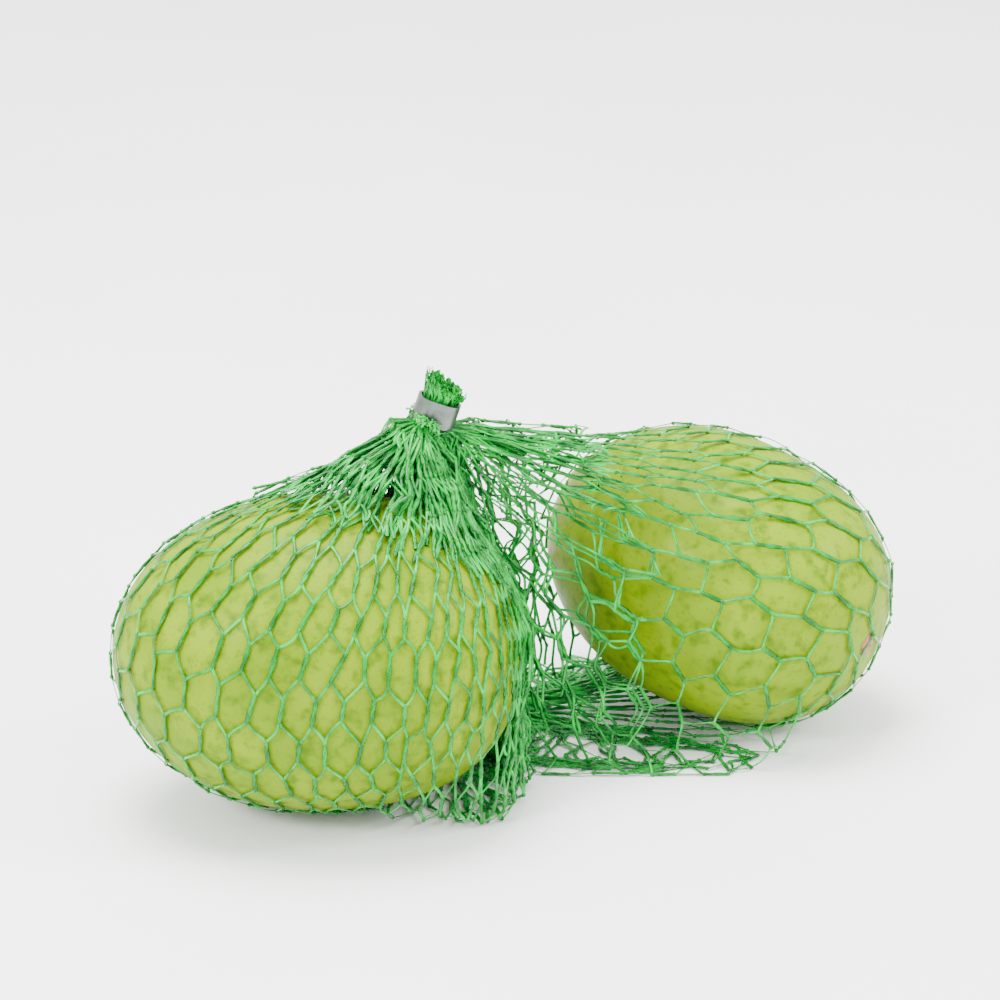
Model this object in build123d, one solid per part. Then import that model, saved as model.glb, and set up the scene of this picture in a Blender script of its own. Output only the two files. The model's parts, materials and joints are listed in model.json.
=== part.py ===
"""Mesh produce bag: a knitted tube net round two limes, closed at each end by a crimped band clip.

The net is one tube. It is split here where it bends: a lobe round each lime, the waist between
them, the shoulder that rises to the neck, and the gathered neck. All of it is millimetres, +Z up,
+X along the bag from the left lime to the right one, with the origin on the table under the
middle of the bag's box.
"""
import os
from math import atan2, cos, degrees, hypot, pi, radians, sin

from build123d import *

# ---- Driving dimensions: millimetres and degrees -------------------------------------------
# Limes: solids of revolution, blunt at the stem end and pointed at the blossom end
LEFT_LIME_LENGTH = 67.0
LEFT_LIME_DIAMETER = 52.0
LEFT_LIME_TURN = 4.0        # stem end's heading about +Z, from +X
LEFT_LIME_DIP = 0.0         # how far the stem end dips below level
RIGHT_LIME_LENGTH = 62.0
RIGHT_LIME_DIAMETER = 47.5
RIGHT_LIME_TURN = -33.0
RIGHT_LIME_DIP = 13.0
STEM_END_FULLNESS = 2.4     # exponent of the outline: 2 is an ellipse, more is blunter
BLOSSOM_END_FULLNESS = 2.0
OUTLINE_POINTS = 13         # points on each half of the outline

# How the two limes lie, centre to centre
LIMES_APART_X = 67.0
LIMES_APART_Y = 38.5

# Stem buttons
BUTTON_DIAMETER = 4.6
BUTTON_THICKNESS = 0.9
BUTTON_SINK = 0.5           # how deep the button sits in the peel

# Net lobes
NET_CLEARANCE = 0.4         # peel to net
NET_WALL = 1.0
FOOT_FLAT = 0.5             # how far the net is pressed flat where it rests
MOUTH_RADIUS = 13.0         # where each lobe opens into the waist
MOUTH_HEIGHT = 28.0
JOINT_GAP = 0.3             # between soft solids that move against each other

# Waist web between the lobes
WAIST_WALL = 1.2
WAIST_HALF_WIDTH = 11.0     # at the middle, level
WAIST_BOTTOM = 9.0          # height of its underside at the middle
WAIST_TOP = 50.0            # height of its ridge at the middle
WAIST_END_HALF_WIDTH = 14.0
WAIST_END_BOTTOM = 11.0
WAIST_END_TOP = 42.5
WAIST_END_REACH = 15.0      # how far each end section is from the middle
FOLD_HEIGHT = 24.0          # height of the fold line

# Neck, above the left lobe's inner shoulder
NECK_FROM_LEFT_X = 16.0     # neck foot from the left lime's centre
NECK_FROM_LEFT_Y = 11.8
NECK_PIVOT_HEIGHT = 54.5
NECK_LEAN = 19.0            # towards +X
NECK_BALL_RADIUS = 4.0
NECK_TOP_RADIUS = 2.9
NECK_LENGTH = 6.4           # pivot to pivot
NECK_TILT_RANGE = 45.0      # what the shoulder's dish leaves room for
SHOULDER_FOOT_RADIUS = 14.0
SHOULDER_FOOT_HEIGHT = 36.0
SHOULDER_WALL = 1.2
SHOULDER_LEAN = 0.1         # how far its foot leans back over the lime, as a share

# Band clips, the same at both ends of the tube
CLIP_WIDTH = 7.3
CLIP_DEPTH = 5.0
CLIP_HEIGHT = 4.2
CLIP_WALL = 0.45
CLIP_SEAM_GAP = 0.5         # between the band's two meeting ends
CLIP_TILT_RANGE = 35.0
BUNDLE_BALL_RADIUS = 1.9
CLIP_RISE = 2.2             # from the clip's pivot to the band's lower rim
TUFT_HEIGHT = 3.4
TUFT_FLARE = 0.35           # how far the cut ends spread past the band, each side

# Bottom closure, lying behind the waist
BOTTOM_GATHER_START = 3.0   # from the waist's middle, backwards
BOTTOM_GATHER_LENGTH = 9.5
BOTTOM_GATHER_RADIUS = 5.2
BOTTOM_GATHER_HEIGHT = 8.0
BOTTOM_GATHER_WALL = 0.6    # round the bundle's ball, where the gather meets it
BOTTOM_CLIP_LIFT = 0.4      # band's lowest point above the table

os.makedirs("parts", exist_ok=True)

NET_OFFSET = NET_CLEARANCE + NET_WALL


# ---- Shapes shared by several pieces ---------------------------------------------------------
def outline_point(t, length, diameter):
    """Point on a lime's outline: t is 0 at the blossom end and pi at the stem end."""
    fullness = BLOSSOM_END_FULLNESS if t < pi / 2 else STEM_END_FULLNESS
    along, across = abs(cos(t)) ** (2 / fullness), sin(t) ** (2 / fullness)
    side = -1 if t < pi / 2 else 1
    return side * along * length / 2, across * diameter / 2


def skin_curve(length, diameter, grow):
    """The outline of a lime's skin moved outwards by a distance, and its two ends on the axis."""
    count = 2 * OUTLINE_POINTS
    step = 0.01             # for the slope, in the same measure as t
    points = [(-length / 2 - grow, 0.0)]
    for i in range(1, count):
        t = pi * i / count
        before = outline_point(t - step, length, diameter)
        after = outline_point(t + step, length, diameter)
        x, r = outline_point(t, length, diameter)
        dx, dr = after[0] - before[0], after[1] - before[1]
        run = hypot(dx, dr)
        points.append((x - dr / run * grow, r + dx / run * grow))
    points.append((length / 2 + grow, 0.0))
    return Spline(*points, tangents=[(0, 1), (0, -1)]), points[0], points[-1]


def lime_shape(length, diameter, grow=0.0):
    """A lime with its axis along +X, or the solid that reaches a distance outside it."""
    curve, blossom, stem = skin_curve(length, diameter, grow)
    return revolve(make_face(curve + Line(stem, blossom)), Axis.X, 360)


def half_skin_shell(length, diameter, inner_grow, outer_grow):
    """The upper half of the closed skin between two distances outside a lime."""
    outer, outer_blossom, outer_stem = skin_curve(length, diameter, outer_grow)
    inner, inner_blossom, inner_stem = skin_curve(length, diameter, inner_grow)
    outline = outer + Line(outer_stem, inner_stem) + inner + Line(inner_blossom, outer_blossom)
    return revolve(make_face(outline), Axis.X, 180)


def heading(turn, dip):
    """Rotation that points +X along a heading about +Z, with the far end dipping."""
    return Location((0, 0, 0), (0, 0, turn)) * Location((0, 0, 0), (0, dip, 0))


def oval(width, depth, height):
    """A stadium-shaped block standing on its base."""
    return extrude(SlotOverall(width, depth), height)


def band_clip():
    """A strip wrapped once round the bundle, its two ends almost meeting at the back."""
    band = oval(CLIP_WIDTH, CLIP_DEPTH, CLIP_HEIGHT)
    band -= oval(CLIP_WIDTH - 2 * CLIP_WALL, CLIP_DEPTH - 2 * CLIP_WALL, CLIP_HEIGHT)
    seam = Pos(0, CLIP_DEPTH / 2, CLIP_HEIGHT / 2) * Box(CLIP_SEAM_GAP, 3 * CLIP_WALL, 2 * CLIP_HEIGHT)
    return band - seam


def gripped_bundle():
    """The net's end inside the clip: a ball foot, then an oval core that fills the band."""
    core_width, core_depth = CLIP_WIDTH - 2 * CLIP_WALL, CLIP_DEPTH - 2 * CLIP_WALL
    foot = loft([
        Circle(BUNDLE_BALL_RADIUS),
        Pos(0, 0, CLIP_RISE) * SlotOverall(core_width, core_depth),
    ])
    core = Pos(0, 0, CLIP_RISE) * oval(core_width, core_depth, CLIP_HEIGHT)
    return Sphere(BUNDLE_BALL_RADIUS) + foot + core


def cut_tuft():
    """The cut net ends above the band, a little wider than it and cut on a slant."""
    core_width, core_depth = CLIP_WIDTH - 2 * CLIP_WALL, CLIP_DEPTH - 2 * CLIP_WALL
    return loft([
        SlotOverall(core_width, core_depth),
        Pos(0, 0, TUFT_HEIGHT) * SlotOverall(core_width + 2 * TUFT_FLARE, core_depth + 2 * TUFT_FLARE),
    ])


# ---- Limes and the lobes of net round them ---------------------------------------------------
waist_heading = degrees(atan2(LIMES_APART_Y, LIMES_APART_X))
left_heading = heading(LEFT_LIME_TURN, LEFT_LIME_DIP)
right_heading = heading(RIGHT_LIME_TURN, RIGHT_LIME_DIP)


def centre_height(direction, length, diameter):
    """Height of a lime's centre when its lobe is pressed flat by FOOT_FLAT on the table."""
    skin = direction * lime_shape(length, diameter, NET_OFFSET)
    return -skin.bounding_box().min.Z - FOOT_FLAT


left_centre = Vector(
    -LIMES_APART_X / 2,
    -LIMES_APART_Y / 2,
    centre_height(left_heading, LEFT_LIME_LENGTH, LEFT_LIME_DIAMETER),
)
right_centre = Vector(
    LIMES_APART_X / 2,
    LIMES_APART_Y / 2,
    centre_height(right_heading, RIGHT_LIME_LENGTH, RIGHT_LIME_DIAMETER),
)
left_place = Location(left_centre) * left_heading
right_place = Location(right_centre) * right_heading


limes = {
    "left": (left_place, LEFT_LIME_LENGTH, LEFT_LIME_DIAMETER),
    "right": (right_place, RIGHT_LIME_LENGTH, RIGHT_LIME_DIAMETER),
}


def lime_skin(side, grow):
    """The left or right lime grown by a distance, where it lies."""
    place, length, diameter = limes[side]
    return place * lime_shape(length, diameter, grow)


def net_lobe(side):
    """The net round one lime: pressed flat on the table, and open where it runs into the waist."""
    place, length, diameter = limes[side]
    reach = 4 * (LIMES_APART_X + LIMES_APART_Y)
    table = Pos(0, 0, -reach / 2) * Box(reach, reach, reach)
    towards_lime = 90 if side == "right" else -90
    mouth = (
        Pos(0, 0, MOUTH_HEIGHT)
        * Rot(0, 0, waist_heading)
        * Rot(0, towards_lime, 0)
        * Cylinder(MOUTH_RADIUS, LIMES_APART_X / 2, align=(Align.CENTER, Align.CENTER, Align.MIN))
    )
    upper = half_skin_shell(length, diameter, NET_CLEARANCE, NET_OFFSET)
    halves = [place * Rot(turn, 0, 0) * upper - table - mouth for turn in (0, 180)]
    # Joined without merging their faces: one face that closes on itself and has a hole is lost in STEP
    return halves[0].fuse(halves[1])


def stem_button(place, length):
    """The dry calyx disc let into the peel at the stem end."""
    disc = Cylinder(BUTTON_DIAMETER / 2, BUTTON_THICKNESS, align=(Align.CENTER, Align.CENTER, Align.MIN))
    disc = fillet(disc.edges().sort_by(Axis.Z)[-1], BUTTON_THICKNESS / 3)
    return place * Pos(length / 2 - BUTTON_SINK, 0, 0) * Rot(0, 90, 0) * disc


left_lime_button = stem_button(left_place, LEFT_LIME_LENGTH - BUTTON_SINK)
right_lime_button = stem_button(right_place, RIGHT_LIME_LENGTH - BUTTON_SINK)
left_lime_fruit = lime_skin("left", 0) - left_lime_button
right_lime_fruit = lime_skin("right", 0) - right_lime_button
net_left_lobe = net_lobe("left")
net_right_lobe = net_lobe("right")

# ---- Neck: shoulder, gather and top clip -----------------------------------------------------
neck_pivot = Vector(
    left_centre.X + NECK_FROM_LEFT_X,
    left_centre.Y + NECK_FROM_LEFT_Y,
    NECK_PIVOT_HEIGHT,
)
neck_place = Location(neck_pivot) * Rot(0, NECK_LEAN, 0)
clip_place = neck_place * Pos(0, 0, NECK_LENGTH)
clip_pivot = clip_place.position

dish_radius = NECK_BALL_RADIUS + JOINT_GAP
dish_depth = dish_radius * sin(radians(NECK_TILT_RANGE + NECK_LEAN))
shoulder_top = NECK_PIVOT_HEIGHT - dish_depth


def shoulder_cone(shrink):
    """The tented net from the lobe up to the neck, or its inside when shrink is the wall."""
    foot_x = neck_pivot.X - SHOULDER_LEAN * NECK_FROM_LEFT_X
    foot_y = neck_pivot.Y - SHOULDER_LEAN * NECK_FROM_LEFT_Y
    return loft([
        Pos(foot_x, foot_y, SHOULDER_FOOT_HEIGHT) * Circle(SHOULDER_FOOT_RADIUS - shrink),
        Pos(neck_pivot.X, neck_pivot.Y, shoulder_top - shrink) * Circle(NECK_BALL_RADIUS + SHOULDER_WALL - shrink),
    ])


net_shoulder = shoulder_cone(0) - shoulder_cone(SHOULDER_WALL)
net_shoulder -= lime_skin("left", NET_OFFSET)
net_shoulder -= Location(neck_pivot) * Sphere(dish_radius)

clip_dish_radius = BUNDLE_BALL_RADIUS + JOINT_GAP
gather_top = NECK_LENGTH - clip_dish_radius * sin(radians(CLIP_TILT_RANGE))
neck_gather = neck_place * (
    Sphere(NECK_BALL_RADIUS)
    + loft([Circle(NECK_BALL_RADIUS), Pos(0, 0, gather_top) * Circle(NECK_TOP_RADIUS)])
    - Pos(0, 0, NECK_LENGTH) * Sphere(clip_dish_radius)
)
top_bundle = clip_place * gripped_bundle()
top_clip_band = clip_place * Pos(0, 0, CLIP_RISE) * band_clip()
top_tuft = clip_place * Pos(0, 0, CLIP_RISE + CLIP_HEIGHT) * cut_tuft()

# ---- Waist web and the bottom closure --------------------------------------------------------
waist_place = Location((0, 0, 0), (0, 0, waist_heading))
fold_pivot = Vector(0, 0, FOLD_HEIGHT)


def waist_section(along, half_width, bottom, top, shrink):
    """One upright oval section of the waist, a distance along the line of the two limes."""
    upright = Plane(origin=(along, 0, (bottom + top) / 2), x_dir=(0, 1, 0), z_dir=(1, 0, 0))
    return upright * Ellipse(half_width - shrink, (top - bottom) / 2 - shrink)


def waist_tube(shrink):
    """The waist's outer form, or its inside when shrink is the wall."""
    end = (WAIST_END_HALF_WIDTH, WAIST_END_BOTTOM, WAIST_END_TOP, shrink)
    return waist_place * loft([
        waist_section(-WAIST_END_REACH, *end),
        waist_section(0, WAIST_HALF_WIDTH, WAIST_BOTTOM, WAIST_TOP, shrink),
        waist_section(WAIST_END_REACH, *end),
    ])


clip_lie = CLIP_DEPTH / 2 + BOTTOM_CLIP_LIFT
# The bottom bundle points backwards, away from the waist, and lies level on the table
bottom_place = (
    waist_place
    * Pos(0, BOTTOM_GATHER_START + BOTTOM_GATHER_LENGTH, clip_lie)
    * Rot(-90, 0, 0)
)
backwards = {"x_dir": (1, 0, 0), "z_dir": (0, 1, 0)}
gather_mouth = Plane(origin=(0, BOTTOM_GATHER_START, BOTTOM_GATHER_HEIGHT), **backwards)
gather_end = Plane(origin=(0, BOTTOM_GATHER_START + BOTTOM_GATHER_LENGTH, clip_lie), **backwards)
bottom_gather = waist_place * loft([
    gather_mouth * Circle(BOTTOM_GATHER_RADIUS),
    gather_end * Circle(BUNDLE_BALL_RADIUS + BOTTOM_GATHER_WALL),
])
bottom_gather -= bottom_place * Sphere(BUNDLE_BALL_RADIUS)
bottom_bundle = bottom_place * gripped_bundle()
bottom_clip_band = bottom_place * Pos(0, 0, CLIP_RISE) * band_clip()
bottom_tuft = bottom_place * Pos(0, 0, CLIP_RISE + CLIP_HEIGHT) * cut_tuft()

net_waist = waist_tube(0) - waist_tube(WAIST_WALL)
for side in ("left", "right"):
    net_waist -= lime_skin(side, NET_OFFSET + JOINT_GAP)
net_waist -= bottom_gather
net_waist -= Location(neck_pivot) * Sphere(dish_radius + JOINT_GAP)
net_waist -= shoulder_cone(-JOINT_GAP)

# ---- Placing and writing ---------------------------------------------------------------------
pieces = {
    "net_left_lobe": net_left_lobe,
    "net_right_lobe": net_right_lobe,
    "net_shoulder": net_shoulder,
    "net_waist": net_waist,
    "neck_gather": neck_gather,
    "top_bundle": top_bundle,
    "top_clip_band": top_clip_band,
    "top_tuft": top_tuft,
    "bottom_gather": bottom_gather,
    "bottom_bundle": bottom_bundle,
    "bottom_clip_band": bottom_clip_band,
    "bottom_tuft": bottom_tuft,
    "left_lime_fruit": left_lime_fruit,
    "left_lime_button": left_lime_button,
    "right_lime_fruit": right_lime_fruit,
    "right_lime_button": right_lime_button,
}
box = Compound(children=[Compound(p.solids()) for p in pieces.values()]).bounding_box()
middle = Vector((box.min.X + box.max.X) / 2, (box.min.Y + box.max.Y) / 2, 0)
to_origin = Location((-middle.X, -middle.Y, 0))

for name, piece in pieces.items():
    placed = Compound([to_origin * solid for solid in piece.solids()])
    export_step(placed if len(placed.solids()) > 1 else placed.solids()[0], f"parts/{name}.step")

joint_points = {
    "fold and swing": fold_pivot - middle,
    "neck": neck_pivot - middle,
    "clip": clip_pivot - middle,
    "left lime centre": left_centre - middle,
    "right lime centre": right_centre - middle,
}
for name, point in joint_points.items():
    print(f"{name}: {point.X:.3f} {point.Y:.3f} {point.Z:.3f} mm")
print(f"box: {box.size.X:.1f} x {box.size.Y:.1f} x {box.size.Z:.1f} mm")
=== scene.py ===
"""A mesh produce bag: a green knitted net holding two limes, closed by a metal clip at each end."""
import json
import logging
import math
from collections.abc import Callable
from dataclasses import dataclass
from enum import Enum, IntEnum

import bpy
import numpy as np
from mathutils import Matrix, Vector

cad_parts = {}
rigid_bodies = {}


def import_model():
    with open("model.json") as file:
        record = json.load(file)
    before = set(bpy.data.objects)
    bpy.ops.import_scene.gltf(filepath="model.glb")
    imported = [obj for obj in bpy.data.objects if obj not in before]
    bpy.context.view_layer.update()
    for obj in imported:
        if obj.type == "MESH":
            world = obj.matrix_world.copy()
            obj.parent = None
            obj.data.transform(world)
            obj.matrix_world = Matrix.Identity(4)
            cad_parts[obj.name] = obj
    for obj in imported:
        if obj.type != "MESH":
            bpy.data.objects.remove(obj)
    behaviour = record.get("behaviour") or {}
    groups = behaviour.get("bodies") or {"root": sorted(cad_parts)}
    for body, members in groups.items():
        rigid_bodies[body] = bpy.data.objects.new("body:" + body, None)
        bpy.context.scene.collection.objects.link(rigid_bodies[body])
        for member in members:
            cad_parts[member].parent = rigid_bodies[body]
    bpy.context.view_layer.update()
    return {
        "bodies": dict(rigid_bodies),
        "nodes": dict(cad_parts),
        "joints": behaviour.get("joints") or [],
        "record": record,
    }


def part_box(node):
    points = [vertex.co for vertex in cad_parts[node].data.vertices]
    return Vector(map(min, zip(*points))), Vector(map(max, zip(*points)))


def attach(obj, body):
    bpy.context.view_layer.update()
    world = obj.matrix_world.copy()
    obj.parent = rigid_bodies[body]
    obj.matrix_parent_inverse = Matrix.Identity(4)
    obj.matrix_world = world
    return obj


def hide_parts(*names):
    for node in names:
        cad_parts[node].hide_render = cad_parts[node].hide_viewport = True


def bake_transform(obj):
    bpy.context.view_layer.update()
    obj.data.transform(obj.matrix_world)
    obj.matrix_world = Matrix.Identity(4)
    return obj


logging.basicConfig(level=logging.INFO, format="%(message)s")
log = logging.getLogger("bag")

MM = 0.001
UP = np.array([0.0, 0.0, 1.0])
MOST_FACES = 80_000  # four-sided faces in one piece


# ---- Small helpers -----------------------------------------------------------------------------


def unit(v: np.ndarray) -> np.ndarray:
    """Scales vectors to length 1.

    Args:
        v: One vector or an array of them, in rows.

    Returns:
        The same shape, each vector of length 1.
    """
    return v / np.maximum(np.linalg.norm(v, axis=-1, keepdims=True), 1e-9)


def srgb(red: int, green: int, blue: int) -> tuple[float, float, float, float]:
    """Turns a screen colour into the linear one that shaders use.

    Args:
        red: 0 to 255.
        green: 0 to 255.
        blue: 0 to 255.

    Returns:
        Linear red, green, blue and alpha.
    """
    def linear(c: float) -> float:
        """Turns one channel, 0 to 255, into its linear value."""
        c /= 255
        return c / 12.92 if c <= 0.04045 else ((c + 0.055) / 1.055) ** 2.4

    return linear(red), linear(green), linear(blue), 1.0


def new_mesh(name: str, points: np.ndarray, faces: np.ndarray) -> bpy.types.Object:
    """Makes a smooth-shaded mesh object.

    Args:
        name: The piece's name.
        points: Vertex positions in metres, in rows.
        faces: Vertex numbers of each face, in rows.

    Returns:
        The new object, in the scene.
    """
    mesh = bpy.data.meshes.new(name)
    mesh.from_pydata(points.tolist(), [], faces.tolist())
    mesh.polygons.foreach_set("use_smooth", np.ones(len(mesh.polygons), bool))
    mesh.update()
    made = bpy.data.objects.new(name, mesh)
    bpy.context.scene.collection.objects.link(made)
    log.info("%s: %d points, %d faces", name, len(points), len(faces))
    return made


# ---- Tubes -------------------------------------------------------------------------------------


@dataclass(frozen=True)
class Section:
    """A strand's cross-section: a flat oval of tape."""

    width: float
    thickness: float
    sides: int = 6


class TubeBatch:
    """Many short strands collected as rings of points, one mesh at the end."""

    def __init__(self) -> None:
        """Starts with no strands."""
        self.points: list[np.ndarray] = []
        self.faces: list[np.ndarray] = []
        self.middles: list[np.ndarray] = []
        self.count = 0

    def add(self, lines: np.ndarray, normals: np.ndarray, section: Section,
            taper: float = 1.0) -> None:
        """Adds a tube along every line.

        Args:
            lines: Points of the strands, (strands, points along each, 3), in metres.
            normals: Which way each point's flat side faces, same shape.
            section: The cross-section.
            taper: How thick the middle is as a share of the ends.
        """
        along = unit(np.gradient(lines, axis=1))
        side = unit(np.cross(normals, along))
        out = unit(np.cross(along, side))
        t = np.linspace(-1, 1, lines.shape[1])
        size = (taper + (1 - taper) * t * t)[None, :, None, None]
        a = 2 * np.pi * np.arange(section.sides) / section.sides
        ring = (np.cos(a)[:, None] * side[:, :, None, :] * section.width / 2
                + np.sin(a)[:, None] * out[:, :, None, :] * section.thickness / 2)
        middle = ((lines[:, :-1] + lines[:, 1:]) / 2)[:, :, None, :]
        self.add_rings(lines[:, :, None, :] + ring * size, middle)

    def add_rings(self, points: np.ndarray, middle: np.ndarray) -> None:
        """Keeps rings of points, with faces between each ring and the next.

        Args:
            points: The points, (strands, rings, points round each, 3).
            middle: Middle of the strand at each face, in a shape that spreads over the faces.
        """
        number = np.arange(points[..., 0].size).reshape(points.shape[:3])
        here, there = number[:, :-1], number[:, 1:]
        quads = np.stack([here, np.roll(here, -1, 2), np.roll(there, -1, 2), there], -1)
        self.points.append(points.reshape(-1, 3))
        self.faces.append(quads.reshape(-1, 4) + self.count)
        self.middles.append(np.broadcast_to(middle, quads.shape[:3] + (3,)).reshape(-1, 3))
        self.count += number.size

    def add_beads(self, centres: np.ndarray, along: np.ndarray, length: float,
                  width: float) -> None:
        """Adds a small closed bead at every centre, for a knot.

        Args:
            centres: Where the beads are, in metres.
            along: The way each one is long.
            length: Their length.
            width: Their width.
        """
        rings, sides = 4, 5
        t = np.linspace(-1, 1, rings)
        lines = centres[:, None, :] + along[:, None, :] * (t * length / 2)[None, :, None]
        side = unit(np.cross(along, UP + 0.01))
        out = unit(np.cross(along, side))
        a = 2 * np.pi * np.arange(sides) / sides
        size = np.sqrt(np.clip(1 - t * t, 0.05, 1))[None, :, None, None] * width / 2
        ring = (np.cos(a)[None, :, None] * side[:, None, :]
                + np.sin(a)[None, :, None] * out[:, None, :])
        self.add_rings(lines[:, :, None, :] + ring[:, None] * size, centres[:, None, None, :])

    def joined(self) -> tuple[np.ndarray, np.ndarray, np.ndarray]:
        """Gives everything collected.

        Returns:
            The points, the faces and the middle of each face's strand piece.
        """
        return (np.concatenate(self.points), np.concatenate(self.faces),
                np.concatenate(self.middles))

    def piece(self, name: str, chosen: np.ndarray | None = None) -> bpy.types.Object:
        """Makes one object of the chosen faces.

        Args:
            name: The piece's name.
            chosen: Which faces, by number; all of them when left out.

        Returns:
            The new object.
        """
        points, faces, _ = self.joined()
        if chosen is not None:
            faces = faces[chosen]
        used, renumbered = np.unique(faces, return_inverse=True)
        return new_mesh(name, points[used], renumbered.reshape(faces.shape))


def hermite(a: np.ndarray, b: np.ndarray, from_a: np.ndarray, to_b: np.ndarray,
            steps: int) -> np.ndarray:
    """Smooth lines from a to b.

    Args:
        a: Start points, in rows.
        b: End points.
        from_a: Tangents at a.
        to_b: Tangents at b.
        steps: Points along each line.

    Returns:
        The lines, (rows, steps, 3).
    """
    t = np.linspace(0, 1, steps)[None, :, None]
    return ((2 * t**3 - 3 * t**2 + 1) * a[:, None] + (t**3 - 2 * t**2 + t) * from_a[:, None]
            + (3 * t**2 - 2 * t**3) * b[:, None] + (t**3 - t**2) * to_b[:, None])


# ---- Finishes ----------------------------------------------------------------------------------


class Shader:
    """A material's node tree with short calls for the nodes used here."""

    def __init__(self, name: str) -> None:
        """Makes a material with one surface shader.

        Args:
            name: The material's name.
        """
        self.material = bpy.data.materials.new(name)
        self.material.use_nodes = True
        self.nodes = self.material.node_tree.nodes
        self.links = self.material.node_tree.links
        self.surface = self.nodes["Principled BSDF"]

    def set(self, **values: object) -> None:
        """Sets the surface's constants; an underscore stands for a space in a socket's name."""
        for name, value in values.items():
            self.surface.inputs[name.replace("_", " ")].default_value = value

    def link(self, source: bpy.types.NodeSocket, target: bpy.types.NodeSocket) -> None:
        """Links two sockets."""
        self.links.new(source, target)

    def use(self, group: bpy.types.NodeTree, **values: object) -> bpy.types.Node:
        """Adds a shared node group.

        Args:
            group: The group.
            values: Its inputs that aren't linked.

        Returns:
            The group's node.
        """
        node = self.nodes.new("ShaderNodeGroup")
        node.node_tree = group
        for name, value in values.items():
            node.inputs[name.replace("_", " ")].default_value = value
        return node

    def mix(self, factor: bpy.types.NodeSocket, low: tuple, high: tuple | bpy.types.NodeSocket,
            base: bpy.types.NodeSocket | None = None) -> bpy.types.NodeSocket:
        """Mixes two colours.

        Args:
            factor: 0 gives low, 1 gives high.
            low: The first colour.
            high: The second.
            base: A socket to use in place of low.

        Returns:
            The mixed colour.
        """
        node = self.nodes.new("ShaderNodeMix")
        node.data_type = "RGBA"
        self.link(factor, node.inputs[0])
        node.inputs[6].default_value = low
        node.inputs[7].default_value = high
        if base is not None:
            self.link(base, node.inputs[6])
        return node.outputs[2]

    def ramp(self, source: bpy.types.NodeSocket, low: float, high: float,
             at_low: float = 0.0, at_high: float = 1.0) -> bpy.types.NodeSocket:
        """Stretches a value over a range and holds it level beyond.

        Args:
            source: The value.
            low: Where the range starts.
            high: Where it ends.
            at_low: What comes out at the start.
            at_high: What comes out at the end.

        Returns:
            The new value.
        """
        node = self.nodes.new("ShaderNodeMapRange")
        for number, value in enumerate((low, high, at_low, at_high), 1):
            node.inputs[number].default_value = value
        self.link(source, node.inputs[0])
        return node.outputs[0]


def mottle_group() -> bpy.types.NodeTree:
    """A shared group: soft noise in object space, sharpened to a mask.

    Returns:
        The group, with Scale, Low and High in and Mask out.
    """
    group = bpy.data.node_groups.new("mottle", "ShaderNodeTree")
    face = group.interface
    for name, value in (("Scale", 100.0), ("Low", 0.4), ("High", 0.6)):
        face.new_socket(name, in_out="INPUT", socket_type="NodeSocketFloat").default_value = value
    face.new_socket("Mask", in_out="OUTPUT", socket_type="NodeSocketFloat")
    ins, outs = group.nodes.new("NodeGroupInput"), group.nodes.new("NodeGroupOutput")
    place = group.nodes.new("ShaderNodeTexCoord")
    noise = group.nodes.new("ShaderNodeTexNoise")
    noise.inputs["Detail"].default_value = 4
    sharpen = group.nodes.new("ShaderNodeMapRange")
    group.links.new(place.outputs["Object"], noise.inputs["Vector"])
    group.links.new(ins.outputs["Scale"], noise.inputs["Scale"])
    group.links.new(noise.outputs[0], sharpen.inputs[0])
    group.links.new(ins.outputs["Low"], sharpen.inputs[1])
    group.links.new(ins.outputs["High"], sharpen.inputs[2])
    group.links.new(sharpen.outputs[0], outs.inputs[0])
    return group


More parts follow.
